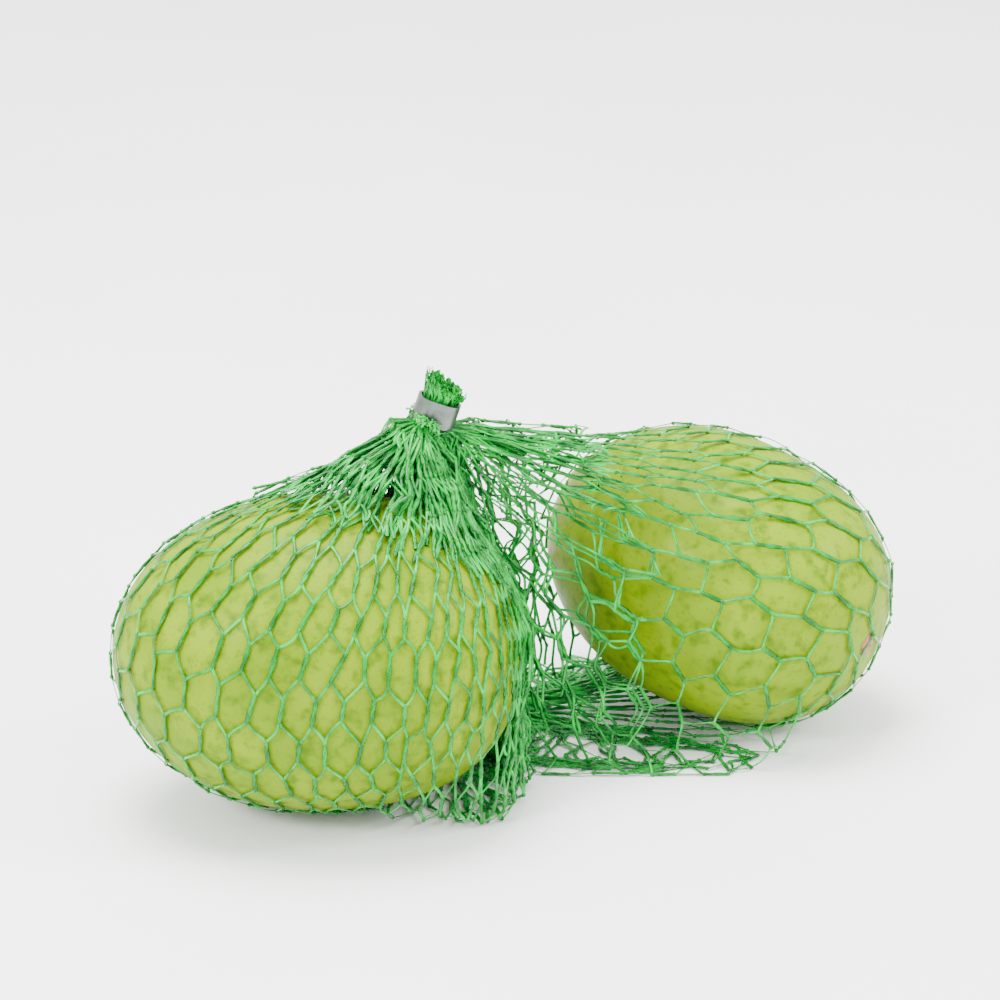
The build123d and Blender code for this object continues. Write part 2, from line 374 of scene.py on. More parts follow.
@dataclass(frozen=True)
class PeelFinish:
    """A lime's peel: colours, pores and shine."""

    fresh: tuple = (0.125, 0.225, 0.0, 1.0)
    pale: tuple = (0.185, 0.29, 0.0, 1.0)
    shade: tuple = (0.07, 0.15, 0.0, 1.0)
    scar: tuple = (0.16, 0.14, 0.03, 1.0)
    roughness: float = 0.42
    pores: float = 900.0
    scar_end: tuple | None = None

    def material(self, name: str, mottle: bpy.types.NodeTree) -> bpy.types.Material:
        """Makes the peel's material.

        Args:
            name: The material's name.
            mottle: The shared noise group.

        Returns:
            The material.
        """
        s = Shader(name)
        s.set(Roughness=self.roughness, Specular_IOR_Level=0.04, Coat_Weight=0.02,
              Coat_Roughness=0.15, Subsurface_Weight=0.05, Subsurface_Scale=0.003,
              Subsurface_Radius=(0.7, 1.0, 0.05))
        broad = s.use(mottle, Scale=70.0, Low=0.35, High=0.65)
        fine = s.use(mottle, Scale=420.0, Low=0.5, High=0.72)
        colour = s.mix(broad.outputs[0], self.fresh, self.pale)
        colour = s.mix(fine.outputs[0], self.fresh, self.shade, base=colour)
        pores = s.nodes.new("ShaderNodeTexVoronoi")
        pores.inputs["Scale"].default_value = self.pores
        place = s.nodes.new("ShaderNodeTexCoord")
        s.link(place.outputs["Object"], pores.inputs["Vector"])
        dark = s.ramp(pores.outputs["Distance"], 0.05, 0.28, 0.45, 0.0)
        colour = s.mix(dark, self.fresh, self.shade, base=colour)
        if self.scar_end is not None:
            # The scar runs over the end of the lime that scar_end points to
            ahead = s.nodes.new("ShaderNodeVectorMath")
            ahead.operation = "DOT_PRODUCT"
            ahead.inputs[1].default_value = self.scar_end
            s.link(place.outputs["Object"], ahead.inputs[0])
            streak = s.use(mottle, Scale=260.0, Low=0.42, High=0.62)
            both = s.nodes.new("ShaderNodeMath")
            both.operation = "MULTIPLY"
            s.link(s.ramp(ahead.outputs["Value"], 0.019, 0.028), both.inputs[0])
            s.link(streak.outputs[0], both.inputs[1])
            colour = s.mix(both.outputs[0], self.fresh, self.scar, base=colour)
        s.link(colour, s.surface.inputs["Base Color"])
        bump = s.nodes.new("ShaderNodeBump")
        bump.inputs["Strength"].default_value = 0.35
        bump.inputs["Distance"].default_value = 0.00018
        s.link(s.ramp(pores.outputs["Distance"], 0.0, 0.45), bump.inputs["Height"])
        s.link(bump.outputs[0], s.surface.inputs["Normal"])
        return s.material


@dataclass(frozen=True)
class TapeFinish:
    """The net's glossy, slightly see-through plastic tape."""

    deep: tuple = (0.0, 0.17, 0.014, 1.0)
    light: tuple = (0.0, 0.46, 0.042, 1.0)
    roughness: float = 0.24
    clear: float = 0.15

    def material(self, name: str, mottle: bpy.types.NodeTree) -> bpy.types.Material:
        """Makes the tape's material.

        Args:
            name: The material's name.
            mottle: The shared noise group.

        Returns:
            The material.
        """
        s = Shader(name)
        s.set(Roughness=self.roughness, Transmission_Weight=self.clear, IOR=1.5,
              Specular_IOR_Level=0.25)
        patches = s.use(mottle, Scale=330.0, Low=0.38, High=0.62)
        s.link(s.mix(patches.outputs[0], self.deep, self.light), s.surface.inputs["Base Color"])
        return s.material


@dataclass(frozen=True)
class MetalFinish:
    """The clip's satin rolled strip."""

    colour: tuple = srgb(108, 116, 110)
    roughness: float = 0.34

    def material(self, name: str, mottle: bpy.types.NodeTree) -> bpy.types.Material:
        """Makes the metal's material.

        Args:
            name: The material's name.
            mottle: The shared noise group.

        Returns:
            The material.
        """
        s = Shader(name)
        s.set(Metallic=0.9, Roughness=self.roughness)
        smears = s.use(mottle, Scale=500.0, Low=0.3, High=0.7)
        s.link(s.mix(smears.outputs[0], self.colour, srgb(84, 94, 86)),
               s.surface.inputs["Base Color"])
        return s.material


@dataclass(frozen=True)
class MattFinish:
    """A dull surface of two mixed colours, for dry stem and plain floor."""

    colour: tuple
    other: tuple
    roughness: float = 0.8
    scale: float = 900.0

    def material(self, name: str, mottle: bpy.types.NodeTree) -> bpy.types.Material:
        """Makes the material.

        Args:
            name: The material's name.
            mottle: The shared noise group.

        Returns:
            The material.
        """
        s = Shader(name)
        s.set(Roughness=self.roughness)
        mask = s.use(mottle, Scale=self.scale)
        s.link(s.mix(mask.outputs[0], self.colour, self.other), s.surface.inputs["Base Color"])
        return s.material


class Finish(Enum):
    """Every finish in the scene."""

    LEFT_PEEL = PeelFinish()
    RIGHT_PEEL = PeelFinish(fresh=(0.14, 0.24, 0.0, 1.0), scar_end=(-0.817, 0.531, 0.225))
    BAR = TapeFinish((0.0, 0.10, 0.008, 1.0), (0.0, 0.26, 0.022, 1.0), clear=0.0)
    LEG = TapeFinish()
    METAL = MetalFinish()
    STEM = MattFinish(srgb(96, 62, 40), srgb(150, 112, 74))
    FLOOR = MattFinish(srgb(250, 250, 250), srgb(246, 246, 246), roughness=0.6, scale=8.0)


class Palette:
    """Makes each finish's material once."""

    def __init__(self) -> None:
        """Makes the noise group that the finishes share."""
        self.mottle = mottle_group()
        self.made: dict[Finish, bpy.types.Material] = {}

    def paint(self, piece: bpy.types.Object, finish: Finish) -> None:
        """Gives a piece its material.

        Args:
            piece: The object to paint.
            finish: Which finish.
        """
        if finish not in self.made:
            self.made[finish] = finish.value.material(finish.name.lower(), self.mottle)
        piece.data.materials.clear()
        piece.data.materials.append(self.made[finish])


# ---- Measures taken from the frame -------------------------------------------------------------


def joint_named(frame: dict, name: str) -> dict:
    """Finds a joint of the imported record.

    Args:
        name: The joint's name.

    Returns:
        The joint.
    """
    return next(j for j in frame["joints"] if j["name"] == name)


@dataclass
class Lime:
    """One lime's shape: a superellipse turned about its own axis, fuller at the stem end."""

    centre: np.ndarray
    axis: np.ndarray
    length: float
    diameter: float
    blossom_fullness: float = 2.0
    stem_fullness: float = 2.4

    @classmethod
    def measured(cls, frame: dict, side: str) -> "Lime":
        """Measures a lime on its CAD node.

        Args:
            side: left or right.

        Returns:
            The lime.
        """
        joint = joint_named(frame, f"{side}_lime_turn")
        centre, axis = np.array(joint["pos_m"]), unit(np.array(joint["axis"], float))
        node = frame["nodes"][f"{side}_lime_fruit"].data
        co = np.array([v.co for v in node.vertices]) - centre
        x = co @ axis
        radius = np.linalg.norm(co - x[:, None] * axis, axis=1).max()
        lime = cls(centre, axis, float(-2 * x.min()), float(2 * radius))
        log.info("%s lime: %.1f by %.1f mm", side, lime.length / MM, lime.diameter / MM)
        return lime

    def frame_axes(self) -> np.ndarray:
        """The lime's own x, y and z as the rows of a matrix."""
        y = unit(np.cross(UP, self.axis))
        return np.stack([self.axis, y, np.cross(self.axis, y)])

    def surface(self, along: int, around: int) -> tuple[np.ndarray, np.ndarray]:
        """Points of the peel in the lime's own frame.

        Args:
            along: Rings from the blossom end to the stem end.
            around: Points round each ring.

        Returns:
            The points and the faces.
        """
        t = np.linspace(1e-3, np.pi - 1e-3, along)
        n = np.where(t < np.pi / 2, self.blossom_fullness, self.stem_fullness)
        x = np.where(t < np.pi / 2, -1, 1) * np.abs(np.cos(t)) ** (2 / n) * self.length / 2
        r = np.sin(t) ** (2 / n) * self.diameter / 2
        a = 2 * np.pi * np.arange(around) / around
        swell = 1 + 0.0025 * np.sin(5 * a)[None, :] * np.sin(t)[:, None]
        swell += 0.0016 * np.sin(11 * a + 1)[None, :] * np.sin(2 * t)[:, None]
        points = np.stack([np.broadcast_to(x[:, None], swell.shape),
                           r[:, None] * swell * np.cos(a), r[:, None] * swell * np.sin(a)], -1)
        number = np.arange(along * around).reshape(along, around)
        here, there = number[:-1], number[1:]
        quads = np.stack([here, there, np.roll(there, -1, 1), np.roll(here, -1, 1)], -1)
        return points.reshape(-1, 3), quads.reshape(-1, 4)

    def push_out(self, p: np.ndarray, gap: float) -> tuple[np.ndarray, np.ndarray]:
        """Moves points that are nearer than gap to the peel out to it.

        Args:
            p: The points.
            gap: How far off the peel they stay.

        Returns:
            The moved points, and which ones were near.
        """
        d = p - self.centre
        x = d @ self.axis
        radial = d - x[:, None] * self.axis
        r = np.linalg.norm(radial, axis=1)
        a, b = self.length / 2 + gap, self.diameter / 2 + gap
        n = np.where(x < 0, self.blossom_fullness, self.stem_fullness)
        u, v = np.abs(x) / a, r / b
        f = u**n + v**n - 1
        near = f < 0
        slope_x = n * np.maximum(u, 1e-6) ** (n - 1) / a * np.sign(x)
        slope_r = n * np.maximum(v, 1e-6) ** (n - 1) / b
        step = np.where(near & (f > -0.35), -f / (slope_x**2 + slope_r**2), 0)
        move = (step * slope_x)[:, None] * self.axis
        move += (step * slope_r / np.maximum(r, 1e-9))[:, None] * radial
        q = p + move
        deep = f <= -0.35
        out = np.minimum(np.maximum(f + 1, 1e-6) ** (-1 / n), 50)
        q[deep] = self.centre + d[deep] * out[deep, None]
        return q, near


@dataclass
class Bundle:
    """Where the net is clipped together: the clip's lower end and the way it points."""

    mouth: np.ndarray
    axis: np.ndarray
    width: float = 5.6 * MM
    depth: float = 3.4 * MM

    def axes(self) -> tuple[np.ndarray, np.ndarray]:
        """Finds the oval's own directions.

        Returns:
            The long and the short one, as unit vectors.
        """
        hint = np.array([1.0, 0, 0])
        wide = unit(hint - self.axis * (hint @ self.axis))
        return wide, np.cross(self.axis, wide)


# ---- The net's shape ---------------------------------------------------------------------------


@dataclass
class NetSizes:
    """The knitted tube: how many cells, how long its sides are and how it is settled."""

    columns: int = 140
    rows: int = 18
    bar: float = 3.7 * MM
    leg: float = 5.1 * MM
    gap: float = 0.45 * MM
    shortest: float = 0.42
    open_width: float = 1.7 * MM
    bar_scatter: float = 0.06
    leg_scatter: float = 0.10
    steps: int = 160
    passes: int = 6
    gravity: float = 9.8
    steps_per_second: int = 400
    kept_speed: float = 0.96
    peel_grip: float = 0.35
    floor_grip: float = 0.5
    start_jitter: float = 0.25 * MM
    ruffle: float = 0.28 * MM
    seed: int = 7


class NetShape:
    """A tube of hexagonal knitting, laid round two limes and settled under its own weight."""

    def __init__(self, sizes: NetSizes, limes: list[Lime], top: Bundle, bottom: Bundle) -> None:
        """Numbers the knots, joins them with strands and lays them round the limes.

        Args:
            sizes: The tube's sizes.
            limes: The limes inside it.
            top: The end with the top clip.
            bottom: The end with the bottom clip.
        """
        self.sizes, self.limes, self.top, self.bottom = sizes, limes, top, bottom
        self.random = np.random.default_rng(sizes.seed)
        rows, columns = sizes.rows, sizes.columns
        self.index = np.arange(rows * columns * 2).reshape(rows, columns, 2)
        upper, lower = self.index[..., 0], self.index[..., 1]
        self.bars = np.stack([upper.ravel(), lower.ravel()], 1)
        left, right = [], []
        j = np.arange(columns)
        for i in range(rows - 1):
            a, b = (j, (j + 1) % columns) if i % 2 == 0 else ((j - 1) % columns, j)
            left.append(np.stack([lower[i, j], upper[i + 1, a]], 1))
            right.append(np.stack([lower[i, j], upper[i + 1, b]], 1))
        self.legs = [np.concatenate(left), np.concatenate(right)]
        even, odd = [], []
        for i in range(rows):
            for k in (0, 1):
                one, two = self.index[i, 0::2, k], self.index[i, 1::2, k]
                even.append(np.stack([one, two], 1))
                odd.append(np.stack([two, np.roll(one, -1)], 1))
        self.across = [np.concatenate(even), np.concatenate(odd)]
        self.points = np.zeros((rows * columns * 2, 3))
        self.column_share = np.ones(columns)
        self.lay()
        share = np.tile(self.column_share[None, :], (rows, 1)).ravel()
        noise = self.random.standard_normal
        self.bar_rest = sizes.bar * share * (1 + sizes.bar_scatter * noise(len(self.bars)))
        leg_share = share[: len(self.legs[0])]
        self.leg_rest = [sizes.leg * leg_share * (1 + sizes.leg_scatter * noise(len(p)))
                         for p in self.legs]

    def hull_distance(self, middle: np.ndarray) -> Callable[[np.ndarray], np.ndarray]:
        """Makes a function that gives how far the stretched skin round both limes is.

        Args:
            middle: Where the rays start.

        Returns:
            A function from unit directions to distances.
        """
        cloud = []
        for lime in self.limes:
            points, _ = lime.surface(40, 40)
            cloud.append(lime.centre + points @ lime.frame_axes())
        cloud = np.vstack(cloud + [self.top.mouth[None], self.bottom.mouth[None]])
        count = 1200
        k = np.arange(count) + 0.5
        polar, turn = np.arccos(1 - 2 * k / count), np.pi * (1 + 5**0.5) * k
        facing = np.stack([np.cos(turn) * np.sin(polar), np.sin(turn) * np.sin(polar),
                           np.cos(polar)], 1)
        reach = ((cloud - middle) @ facing.T).max(0) + 0.6 * MM

        def distance(directions: np.ndarray) -> np.ndarray:
            """Gives how far the skin is along each direction."""
            q = directions @ facing.T
            return np.where(q > 1e-3, reach / np.maximum(q, 1e-3), 1e9).min(1)

        return distance

    def lay(self) -> None:
        """Lays the tube on the stretched skin, columns evenly round it, rows evenly down it."""
        sizes = self.sizes
        middle = (self.limes[0].centre + self.limes[1].centre) / 2
        distance = self.hull_distance(middle)
        turn = np.linspace(0, 2 * np.pi, 721)
        level = np.stack([np.cos(turn), np.sin(turn), 0 * turn], 1)
        rim = level * distance(level)[:, None]
        girth = np.concatenate([[0], np.cumsum(np.linalg.norm(np.diff(rim, axis=0), axis=1))])
        top_way, bottom_way = unit(self.top.mouth - middle), unit(self.bottom.mouth - middle)
        f = np.linspace(0, 1, 46)[:, None]
        lengths = np.zeros((sizes.columns, 2))
        for j in range(sizes.columns):
            for odd in (0, 1):
                t = np.interp((j + odd / 2) / sizes.columns * girth[-1] % girth[-1], girth, turn)
                out = np.array([math.cos(t), math.sin(t), 0])
                ways = unit(np.vstack([top_way * (1 - f) + out * f,
                                       (out * (1 - f) + bottom_way * f)[1:]]))
                line = middle + ways * distance(ways)[:, None]
                line[0], line[-1] = self.top.mouth, self.bottom.mouth
                down = np.concatenate([[0], np.cumsum(
                    np.linalg.norm(np.diff(line, axis=0), axis=1))])
                lengths[j, odd] = down[-1]
                pitch = down[-1] / (sizes.rows - 0.5)
                for i in range(odd, sizes.rows, 2):
                    for k in (0, 1):
                        s = pitch * (i + 0.02 + k * sizes.bar / (sizes.bar + sizes.leg))
                        self.points[self.index[i, j, k]] = [
                            np.interp(s, down, line[:, x]) for x in range(3)]
        # Each column is shortened to how far it has to reach. A real tube's columns are equal:
        # this keeps the short way over the waist from hanging slack.
        longest = lengths.max()
        self.column_share = np.clip((lengths.mean(1) / longest) ** 1.2 * 1.08, sizes.shortest, 1)
        self.pinned = np.concatenate([self.index[0, :, 0], self.index[-1, :, 1]])
        spots = []
        for bundle, row in ((self.top, 0), (self.bottom, sizes.rows - 1)):
            wide, deep = bundle.axes()
            t = np.interp((np.arange(sizes.columns) + (row % 2) / 2) / sizes.columns * girth[-1]
                          % girth[-1], girth, turn)
            out = np.stack([np.cos(t), np.sin(t), 0 * t], 1)
            a = np.arctan2(out @ deep, out @ wide)
            spots.append(bundle.mouth + bundle.width / 2 * np.cos(a)[:, None] * wide
                         + bundle.depth / 2 * np.sin(a)[:, None] * deep)
        self.pinned_to = np.concatenate(spots)
        self.free = np.ones(len(self.points), bool)
        self.free[self.pinned] = False
        self.points[self.pinned] = self.pinned_to

    def hold(self, x: np.ndarray, pairs: np.ndarray, rest: np.ndarray | float, low: float,
             stiffness: float) -> None:
        """Pulls stretched pairs back to their length and pushes short ones apart, softly.

        Args:
            x: The points, changed in place.
            pairs: Which two points each strand joins.
            rest: The strands' lengths.
            low: Share of its length under which a strand pushes.
            stiffness: How hard it pushes.
        """
        a, b = pairs[:, 0], pairs[:, 1]
        d = x[b] - x[a]
        length = np.maximum(np.linalg.norm(d, axis=1), 1e-7)
        over = np.where(length > rest, length - rest,
                        np.where(length < low * rest, stiffness * (length - low * rest), 0))
        wa, wb = self.free[a].astype(float), self.free[b].astype(float)
        change = (over / length / np.maximum(wa + wb, 1e-9))[:, None] * d
        np.add.at(x, a, change * wa[:, None])
        np.subtract.at(x, b, change * wb[:, None])

    def settle(self) -> None:
        """Lets the net sink onto the limes and the floor."""
        sizes = self.sizes
        x = self.points.copy()
        jitter = self.random.standard_normal((self.free.sum(), 3))
        x[self.free] += jitter * sizes.start_jitter
        before = x.copy()
        floor = sizes.gap * 0.8
        never = 1e3  # metres
        fall = sizes.gravity / sizes.steps_per_second**2
        for _ in range(sizes.steps):
            speed = (x - before) * sizes.kept_speed
            before = x.copy()
            x = x + speed
            x[:, 2] -= fall
            x[self.pinned] = self.pinned_to
            for turn in range(sizes.passes):
                self.hold(x, self.bars, self.bar_rest, 0.97, 0.8)
                for pairs, rest in zip(self.legs, self.leg_rest):
                    self.hold(x, pairs, rest, 0.88, 0.5)
                # Side by side knots are only pushed apart: so long a rest length never pulls
                for pairs in self.across:
                    self.hold(x, pairs, never, sizes.open_width / never, 0.10)
                last = turn == sizes.passes - 1
                for lime in self.limes:
                    x, hit = lime.push_out(x, sizes.gap)
                    if last:
                        before[hit] += (x[hit] - before[hit]) * sizes.peel_grip
                low = x[:, 2] < floor
                x[low, 2] = floor
                if last:
                    before[low, :2] += (x[low, :2] - before[low, :2]) * sizes.floor_grip
                x[self.pinned] = self.pinned_to
        ruffle = self.random.standard_normal(x.shape) * sizes.ruffle
        ruffle -= (ruffle * self.outward(x)).sum(1, keepdims=True) * self.outward(x) * 0.6
        x[self.free] += ruffle[self.free]
        for lime in self.limes:
            x, _ = lime.push_out(x, sizes.gap)
        x[:, 2] = np.maximum(x[:, 2], floor)
        self.points = x
        log.info("net settled: last move %.2f mm", np.abs(x - before).max() / MM)

    def outward(self, p: np.ndarray) -> np.ndarray:
        """Which way is out of the bag.

        Args:
            p: Points, any shape ending in 3.

        Returns:
            Unit vectors of the same shape.
        """
        a, b = self.limes[0].centre, self.limes[1].centre
        t = np.clip((p - a) @ (b - a) / ((b - a) @ (b - a)), 0, 1)
        return unit(p - (a + t[..., None] * (b - a)))


@dataclass(frozen=True)
class StrandSizes:
    """How thick the knitting is."""

    bar: Section = Section(0.60 * MM, 0.36 * MM, 4)
    leg: Section = Section(0.62 * MM, 0.20 * MM, 5)
    twist: float = 0.19 * MM
    knot_length: float = 1.0 * MM
    knot_width: float = 0.72 * MM


class Region(IntEnum):
    """Parts of the net, each made as its own pieces; the neck's sectors count up from NECK."""

    LEFT = 0
    RIGHT = 1
    CLIP = 2
    NECK = 3


NECK_SECTORS = 6
NECK_REACH = 9.5 * MM


class Net:
    """The net's strands as meshes, split where the bag bends."""

    def __init__(self, shape: NetShape, frame: dict, palette: Palette,
                 sizes: StrandSizes = StrandSizes()) -> None:
        """Finds where the bag bends.

        Args:
            shape: The settled net.
            palette: The finishes.
            sizes: How thick the strands are.
        """
        self.shape, self.palette, self.sizes = shape, palette, sizes
        self.pivot = np.array(joint_named(frame, "waist_fold")["pos_m"])
        fold = np.array(joint_named(frame, "waist_fold")["axis"], float)
        self.across = unit(np.cross(UP, fold))
        if self.across[0] < 0:
            self.across = -self.across
        self.neck = np.array(joint_named(frame, "neck_side_tilt")["pos_m"])
        self.clip = np.array(joint_named(frame, "neck_fore_tilt")["pos_m"])
        self.lean = unit(self.clip - self.neck)

    def clear_of_limes(self, lines: np.ndarray, gap: float) -> np.ndarray:
        """Keeps strands off the peel and the floor.

        Args:
            lines: Points of the strands, (strands, points along each, 3).
            gap: How far off they stay, in metres.

        Returns:
            The moved points, same shape.
        """
        flat = lines.reshape(-1, 3)
        for lime in self.shape.limes:
            flat, _ = lime.push_out(flat, gap)
        flat[:, 2] = np.maximum(flat[:, 2], gap)
        return flat.reshape(lines.shape)

    def gathered(self, p: np.ndarray) -> np.ndarray:
        """Says which points lie where the net is gathered into pleats.

        Args:
            p: The points, in rows.

        Returns:
            A mask.
        """
        d = p - self.neck
        far = np.linalg.norm(d - (d @ self.lean)[:, None] * self.lean, axis=1)
        ahead = (p - self.pivot) @ self.across
        return ((far < 24 * MM) & (d[:, 2] > -16 * MM)) | (
            (ahead > -13 * MM) & (ahead < 16 * MM) & (p[:, 2] > 6 * MM))

    def pleated(self, depth: float, turn: float) -> np.ndarray:
        """The net's points again, as a pleat a little inside or outside the outer layer.

        Args:
            depth: How far inside, in metres.
            turn: Shifts the pleats' waves.

        Returns:
            The moved points.
        """
        x = self.shape.points
        waves = np.array([[410.0, 130.0, 260.0], [-170.0, 380.0, 220.0], [230.0, -290.0, 310.0]])
        drift = np.sin(x @ waves.T + turn) * 1.0 * MM
        moved = x - self.shape.outward(x) * depth + drift
        moved[self.shape.pinned] = x[self.shape.pinned]
        return moved

    def strands(self) -> tuple[TubeBatch, TubeBatch]:
        """Makes every strand.

        Returns:
            The bars with their knots, and the legs.
        """
        bars, legs = TubeBatch(), TubeBatch()
        everywhere = np.ones(len(self.shape.points), bool)
        gathered = self.gathered(self.shape.points)
        self.add_layer(bars, legs, self.shape.points, everywhere, 1)
        self.add_layer(bars, legs, self.pleated(1.2 * MM, 0.7), gathered, 2)
        self.add_layer(bars, legs, self.pleated(-0.5 * MM, 2.9), gathered, 3)
        return bars, legs

    def add_layer(self, bars: TubeBatch, legs: TubeBatch, x: np.ndarray, kept: np.ndarray,
                  seed: int) -> None:
        """Adds one layer's strands.

        Args:
            bars: Where its bars go.
            legs: Where its legs go.
            x: The layer's points.
            kept: Which points the layer has.
            seed: Seed of its own random numbers.
        """
        shape, sizes = self.shape, self.sizes
        random = np.random.default_rng(shape.sizes.seed + seed)
        pairs = shape.bars[kept[shape.bars].all(1)]
        upper, lower = x[pairs[:, 0]], x[pairs[:, 1]]
        along = unit(lower - upper)
        heading = np.zeros_like(x)
        heading[pairs[:, 0]] = along
        heading[pairs[:, 1]] = along
        t = np.linspace(0, 1, 5)
        line = upper[:, None] * (1 - t)[None, :, None] + lower[:, None] * t[None, :, None]
        out = shape.outward(line)
        side = np.cross(out, along[:, None])
        phase = random.uniform(0, 2 * np.pi, len(line))[:, None] + t[None, :] * np.pi * 1.6
        pinch = (0.35 + 0.65 * np.sin(np.pi * t))[None, :, None] * sizes.twist
        for half in (0, np.pi):
            wind = (np.cos(phase + half)[..., None] * side
                    + 0.6 * np.sin(phase + half)[..., None] * out) * pinch
            strand = self.clear_of_limes(line + wind, 0.22 * MM)
            bars.add(strand, out, sizes.bar)
        for end in (0, 1):
            bars.add_beads(x[pairs[:, end]], along, sizes.knot_length, sizes.knot_width)
        for pairs, rest in zip(shape.legs, shape.leg_rest):
            chosen = kept[pairs].all(1)
            pairs, rest = pairs[chosen], rest[chosen]
            a, b = x[pairs[:, 0]], x[pairs[:, 1]]
            span = np.linalg.norm(b - a, axis=1)[:, None]
            way = unit(b - a)
            bend = 0.75 * span
            line = hermite(a, b, unit(heading[pairs[:, 0]] * 0.5 + way) * bend,
                           unit(heading[pairs[:, 1]] * 0.5 + way) * bend, 6)
            slack = np.sqrt(np.maximum(rest[:, None] ** 2 - span**2, 0)) * 0.3
            sag = np.sin(np.linspace(0, np.pi, 6))[None, :, None]
            side = unit(np.cross(shape.outward((a + b) / 2), way))
            sway = random.uniform(-1, 1, (len(a), 1))
            line = line + sag * (slack * sway * side + 0.25 * slack * shape.outward(a))[:, None]
            line = self.clear_of_limes(line, 0.14 * MM)
            legs.add(line, shape.outward(line), sizes.leg, taper=0.85)

    def regions(self, p: np.ndarray) -> np.ndarray:
        """Sorts points into regions.

        Args:
            p: The points, in rows.

        Returns:
            Each point's Region number, with the neck's sectors counted up from NECK.
        """
        region = np.where((p - self.pivot) @ self.across > 0, Region.RIGHT, Region.LEFT)
        d = p - self.neck
        height = d @ self.lean
        flat = d - height[:, None] * self.lean
        far = np.linalg.norm(flat, axis=1)
        turn = np.arctan2(flat[:, 1], flat[:, 0])
        sector = np.floor((turn + np.pi) / (2 * np.pi) * NECK_SECTORS).astype(int) % NECK_SECTORS
        neck = (far < NECK_REACH) & (d[:, 2] > -6 * MM)
        region = np.where(neck, Region.NECK + sector, region)
        return np.where(neck & (height > 4 * MM), Region.CLIP, region)

    def build(self) -> None:
        """Makes the net's pieces and bakes each one's placement into its mesh."""
        stand_for = {Region.LEFT: ("net_left_lobe", "net_shoulder"),
                     Region.RIGHT: ("net_right_lobe", "net_waist"),
                     Region.CLIP: ("top_bundle",), Region.NECK: ("neck_gather",)}
        plain = {Region.LEFT: "left", Region.RIGHT: "right", Region.CLIP: "clip"}
        for kind, batch, finish in zip(("bars", "legs"), self.strands(), (Finish.BAR, Finish.LEG)):
            region = self.regions(batch.joined()[2])
            for number in np.unique(region):
                part = plain.get(int(number), f"neck{number - Region.NECK}")
                faces = np.flatnonzero(region == number)
                shares = np.array_split(faces, 1 + len(faces) // MOST_FACES)
                for share, chosen in enumerate(shares):
                    piece = batch.piece(f"net_{part}_{kind}_{share}", chosen)
                    self.palette.paint(piece, finish)
                    self.follow(piece, int(number))
                    if kind == "bars" and share == 0 and number in stand_for:
                        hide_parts(*stand_for[int(number)])

    def bend_to_left(self, piece: bpy.types.Object) -> None:
        """Bakes a left-side piece's placement into its mesh."""
        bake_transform(piece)

    def bend_to_right(self, piece: bpy.types.Object) -> None:
        """Bakes a right-side piece's placement into its mesh."""
        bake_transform(piece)

    def follow(self, piece: bpy.types.Object, region: int) -> None:
        """Bakes a piece's placement into its mesh, whatever its region.

        Args:
            piece: The piece.
            region: Its region's number.
        """
        if region == Region.LEFT:
            self.bend_to_left(piece)
        elif region == Region.RIGHT:
            self.bend_to_right(piece)
        elif region == Region.CLIP:
            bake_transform(piece)
        else:
            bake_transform(piece)


CLIP_HEIGHT = 4.2 * MM  # lower rim to upper rim
CLIP_RISE = 2.2 * MM  # the clip's pivot to its lower rim


@dataclass(frozen=True)
class TuftSizes:
    """The cut ends: how many, how tall and how they spread."""

    count: int = 420
    half_width: float = 2.9 * MM
    half_depth: float = 1.7 * MM
    sunk: float = 0.8 * MM
    tall: float = 3.5 * MM
    slant: float = 1.1 * MM
    spread: float = 1.1 * MM
    tape: Section = Section(0.42 * MM, 0.13 * MM, 5)
    seed: int = 11


class Tuft:
    """The cut ends of the net standing out of a clip."""

    def __init__(self, name: str, bundle: Bundle, rise: float, body: str,
                 nodes: tuple[str, ...], palette: Palette,
                 sizes: TuftSizes = TuftSizes()) -> None:
        """Takes the clipped end, the clip's height, the body and the nodes it stands for."""
        self.name, self.bundle, self.rise, self.body = name, bundle, rise, body
        self.nodes, self.palette, self.sizes = nodes, palette, sizes

    def build(self) -> None:
        """Makes the tuft."""
        sizes = self.sizes
        random = np.random.default_rng(sizes.seed)
        count = sizes.count
        wide, deep = self.bundle.axes()
        a = random.uniform(0, 2 * np.pi, count)
        r = np.sqrt(random.uniform(0, 1, count))
        u, v = r * np.cos(a), r * np.sin(a)
        foot = (self.bundle.mouth + self.bundle.axis * (self.rise - sizes.sunk)
                + u[:, None] * wide * sizes.half_width + v[:, None] * deep * sizes.half_depth)
        tall = sizes.tall - sizes.slant * u + random.uniform(-0.7, 0.6, count) * MM
        t = np.linspace(0, 1, 8)[None, :, None]
        out = u[:, None] * wide * 0.6 + v[:, None] * deep * 0.7
        lean = out + 0.25 * random.standard_normal((count, 3))
        curl = random.uniform(0.1, 0.45, count)[:, None, None] * MM
        phase = random.uniform(0, 6.28, count)[:, None, None]
        line = foot[:, None] + self.bundle.axis * tall[:, None, None] * t
        line = line + lean[:, None] * sizes.spread * t**2
        line = line + curl * t * (np.sin(phase + 7 * t) * wide + np.cos(phase + 8 * t) * deep)
        batch = TubeBatch()
        facing = np.broadcast_to(unit(out + deep * 0.1)[:, None], line.shape)
        batch.add(line, facing, sizes.tape)
        piece = batch.piece(f"{self.name}_ends")
        self.palette.paint(piece, Finish.LEG)
        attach(piece, self.body)
        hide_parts(*self.nodes)


